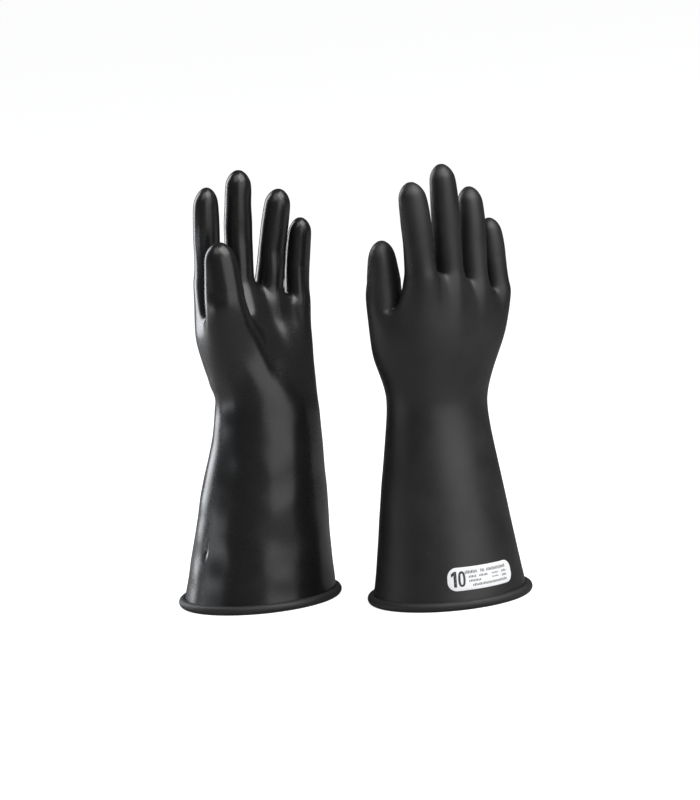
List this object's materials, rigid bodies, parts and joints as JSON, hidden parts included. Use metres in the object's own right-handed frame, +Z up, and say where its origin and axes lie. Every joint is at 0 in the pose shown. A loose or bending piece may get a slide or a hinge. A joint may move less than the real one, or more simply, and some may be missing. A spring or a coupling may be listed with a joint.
{
  "type": "electrical insulating gloves",
  "caption": "Pair of long black moulded rubber electrical insulating gloves with rolled cuff beads, standing on their cuffs, one showing the palm and one the back.",
  "frame": {"origin": "centre of the pair's bounding box, on the floor that the cuff beads rest on", "axes": "+Z up from the cuffs to the fingertips; +X from the left glove to the right glove; -Y is the side that shows the left glove's palm and the right glove's back"},
  "size_m": [0.2912, 0.1938, 0.3524],
  "materials": {
    "right_rubber": "satin moulded black rubber",
    "left_rubber": "semi-gloss moulded black rubber",
    "bead_rubber": "matte dark grey rubber",
    "label_film": "matte white printed film"
  },
  "bodies": {
    "right_cuff": {"right_gauntlet": "right_rubber", "right_cuff_bead": "bead_rubber", "right_label": "label_film", "right_wrist_bend": "right_rubber"},
    "right_palm": {"right_hand": "right_rubber", "right_thumb_root_bend": "right_rubber", "right_index_root_bend": "right_rubber", "right_middle_root_bend": "right_rubber", "right_ring_root_bend": "right_rubber", "right_little_root_bend": "right_rubber"},
    "right_thumb_lower": {"right_thumb_base": "right_rubber", "right_thumb_mid_bend": "right_rubber"},
    "right_thumb_upper": {"right_thumb_tip": "right_rubber"},
    "right_index_lower": {"right_index_base": "right_rubber", "right_index_mid_bend": "right_rubber"},
    "right_index_upper": {"right_index_tip": "right_rubber"},
    "right_middle_lower": {"right_middle_base": "right_rubber", "right_middle_mid_bend": "right_rubber"},
    "right_middle_upper": {"right_middle_tip": "right_rubber"},
    "right_ring_lower": {"right_ring_base": "right_rubber", "right_ring_mid_bend": "right_rubber"},
    "right_ring_upper": {"right_ring_tip": "right_rubber"},
    "right_little_lower": {"right_little_base": "right_rubber", "right_little_mid_bend": "right_rubber"},
    "right_little_upper": {"right_little_tip": "right_rubber"},
    "left_cuff": {"left_gauntlet": "left_rubber", "left_cuff_bead": "bead_rubber", "left_label": "label_film", "left_wrist_bend": "left_rubber"},
    "left_palm": {"left_hand": "left_rubber", "left_thumb_root_bend": "left_rubber", "left_index_root_bend": "left_rubber", "left_middle_root_bend": "left_rubber", "left_ring_root_bend": "left_rubber", "left_little_root_bend": "left_rubber"},
    "left_thumb_lower": {"left_thumb_base": "left_rubber", "left_thumb_mid_bend": "left_rubber"},
    "left_thumb_upper": {"left_thumb_tip": "left_rubber"},
    "left_index_lower": {"left_index_base": "left_rubber", "left_index_mid_bend": "left_rubber"},
    "left_index_upper": {"left_index_tip": "left_rubber"},
    "left_middle_lower": {"left_middle_base": "left_rubber", "left_middle_mid_bend": "left_rubber"},
    "left_middle_upper": {"left_middle_tip": "left_rubber"},
    "left_ring_lower": {"left_ring_base": "left_rubber", "left_ring_mid_bend": "left_rubber"},
    "left_ring_upper": {"left_ring_tip": "left_rubber"},
    "left_little_lower": {"left_little_base": "left_rubber", "left_little_mid_bend": "left_rubber"},
    "left_little_upper": {"left_little_tip": "left_rubber"}
  },
  "joints": [
    {"name": "right_wrist", "type": "hinge", "parent": "right_cuff", "child": "right_palm", "pos_m": [0.07994, -0.01017, 0.1634], "axis": [-0.7383, -0.6656, 0.1093], "range_deg": [-40, 40], "stiffness_Nm_per_rad": 1, "deforming": ["right_wrist_bend"]},
    {"name": "right_thumb_root", "type": "hinge", "parent": "right_palm", "child": "right_thumb_lower", "pos_m": [0.04524, -0.02689, 0.25329], "axis": [-0.9779, 0.1955, 0.0748], "range_deg": [-10, 30], "stiffness_Nm_per_rad": 0.15, "deforming": ["right_thumb_root_bend"]},
    {"name": "right_thumb_mid", "type": "hinge", "parent": "right_thumb_lower", "child": "right_thumb_upper", "pos_m": [0.04559, -0.02807, 0.27425], "axis": [-0.9779, 0.1955, 0.0748], "range_deg": [-5, 40], "stiffness_Nm_per_rad": 0.1, "deforming": ["right_thumb_mid_bend"]},
    {"name": "right_index_root", "type": "hinge", "parent": "right_palm", "child": "right_index_lower", "pos_m": [0.07708, -0.04745, 0.28096], "axis": [-0.7383, -0.6656, 0.1093], "range_deg": [-10, 40], "stiffness_Nm_per_rad": 0.15, "deforming": ["right_index_root_bend"]},
    {"name": "right_index_mid", "type": "hinge", "parent": "right_index_lower", "child": "right_index_upper", "pos_m": [0.07729, -0.04613, 0.31315], "axis": [-0.7383, -0.6656, 0.1093], "range_deg": [-5, 60], "stiffness_Nm_per_rad": 0.1, "deforming": ["right_index_mid_bend"]},
    {"name": "right_middle_root", "type": "hinge", "parent": "right_palm", "child": "right_middle_lower", "pos_m": [0.09873, -0.02888, 0.27812], "axis": [-0.7383, -0.6656, 0.1093], "range_deg": [-10, 58], "stiffness_Nm_per_rad": 0.15, "deforming": ["right_middle_root_bend"]},
    {"name": "right_middle_mid", "type": "hinge", "parent": "right_middle_lower", "child": "right_middle_upper", "pos_m": [0.10151, -0.02697, 0.31772], "axis": [-0.7383, -0.6656, 0.1093], "range_deg": [-5, 60], "stiffness_Nm_per_rad": 0.1, "deforming": ["right_middle_mid_bend"]},
    {"name": "right_ring_root", "type": "hinge", "parent": "right_palm", "child": "right_ring_lower", "pos_m": [0.11806, -0.00943, 0.26726], "axis": [-0.7383, -0.6656, 0.1093], "range_deg": [-10, 58], "stiffness_Nm_per_rad": 0.15, "deforming": ["right_ring_root_bend"]},
    {"name": "right_ring_mid", "type": "hinge", "parent": "right_ring_lower", "child": "right_ring_upper", "pos_m": [0.12075, -0.00391, 0.3019], "axis": [-0.7383, -0.6656, 0.1093], "range_deg": [-5, 60], "stiffness_Nm_per_rad": 0.1, "deforming": ["right_ring_mid_bend"]},
    {"name": "right_little_root", "type": "hinge", "parent": "right_palm", "child": "right_little_lower", "pos_m": [0.13507, 0.00732, 0.25688], "axis": [-0.7383, -0.6656, 0.1093], "range_deg": [-10, 58], "stiffness_Nm_per_rad": 0.15, "deforming": ["right_little_root_bend"]},
    {"name": "right_little_mid", "type": "hinge", "parent": "right_little_lower", "child": "right_little_upper", "pos_m": [0.13604, 0.01006, 0.28167], "axis": [-0.7383, -0.6656, 0.1093], "range_deg": [-5, 60], "stiffness_Nm_per_rad": 0.1, "deforming": ["right_little_mid_bend"]},
    {"name": "left_glove_lift", "type": "slide", "parent": "right_cuff", "child": "left_cuff", "axis": [0, 0, 1], "range_m": [0, 0.4]},
    {"name": "left_wrist", "type": "hinge", "parent": "left_cuff", "child": "left_palm", "pos_m": [-0.05889, 0.0262, 0.1634], "axis": [0.8611, 0.4965, -0.1093], "range_deg": [-40, 40], "stiffness_Nm_per_rad": 1, "deforming": ["left_wrist_bend"]},
    {"name": "left_thumb_root", "type": "hinge", "parent": "left_palm", "child": "left_thumb_lower", "pos_m": [-0.08552, -0.00163, 0.25329], "axis": [0.1163, 0.9904, -0.0748], "range_deg": [-10, 30], "stiffness_Nm_per_rad": 0.15, "deforming": ["left_thumb_root_bend"]},
    {"name": "left_thumb_mid", "type": "hinge", "parent": "left_thumb_lower", "child": "left_thumb_upper", "pos_m": [-0.08653, -0.00094, 0.27425], "axis": [0.1163, 0.9904, -0.0748], "range_deg": [-5, 40], "stiffness_Nm_per_rad": 0.1, "deforming": ["left_thumb_mid_bend"]},
    {"name": "left_index_root", "type": "hinge", "parent": "left_palm", "child": "left_index_lower", "pos_m": [-0.09523, 0.035, 0.28096], "axis": [0.8611, 0.4965, -0.1093], "range_deg": [-10, 40], "stiffness_Nm_per_rad": 0.15, "deforming": ["left_index_root_bend"]},
    {"name": "left_index_mid", "type": "hinge", "parent": "left_index_lower", "child": "left_index_upper", "pos_m": [-0.09391, 0.03479, 0.31315], "axis": [0.8611, 0.4965, -0.1093], "range_deg": [-5, 60], "stiffness_Nm_per_rad": 0.1, "deforming": ["left_index_mid_bend"]},
    {"name": "left_middle_root", "type": "hinge", "parent": "left_palm", "child": "left_middle_lower", "pos_m": [-0.07088, 0.04985, 0.27812], "axis": [0.8611, 0.4965, -0.1093], "range_deg": [-10, 58], "stiffness_Nm_per_rad": 0.15, "deforming": ["left_middle_root_bend"]},
    {"name": "left_middle_mid", "type": "hinge", "parent": "left_middle_lower", "child": "left_middle_upper", "pos_m": [-0.0682, 0.05191, 0.31772], "axis": [0.8611, 0.4965, -0.1093], "range_deg": [-5, 60], "stiffness_Nm_per_rad": 0.1, "deforming": ["left_middle_mid_bend"]},
    {"name": "left_ring_root", "type": "hinge", "parent": "left_palm", "child": "left_ring_lower", "pos_m": [-0.04641, 0.06222, 0.26726], "axis": [0.8611, 0.4965, -0.1093], "range_deg": [-10, 58], "stiffness_Nm_per_rad": 0.15, "deforming": ["left_ring_root_bend"]},
    {"name": "left_ring_mid", "type": "hinge", "parent": "left_ring_lower", "child": "left_ring_upper", "pos_m": [-0.04032, 0.06308, 0.3019], "axis": [0.8611, 0.4965, -0.1093], "range_deg": [-5, 60], "stiffness_Nm_per_rad": 0.1, "deforming": ["left_ring_mid_bend"]},
    {"name": "left_little_root", "type": "hinge", "parent": "left_palm", "child": "left_little_lower", "pos_m": [-0.02522, 0.07323, 0.25688], "axis": [0.8611, 0.4965, -0.1093], "range_deg": [-10, 58], "stiffness_Nm_per_rad": 0.15, "deforming": ["left_little_root_bend"]},
    {"name": "left_little_mid", "type": "hinge", "parent": "left_little_lower", "child": "left_little_upper", "pos_m": [-0.02232, 0.07331, 0.28167], "axis": [0.8611, 0.4965, -0.1093], "range_deg": [-5, 60], "stiffness_Nm_per_rad": 0.1, "deforming": ["left_little_mid_bend"]}
  ]
}
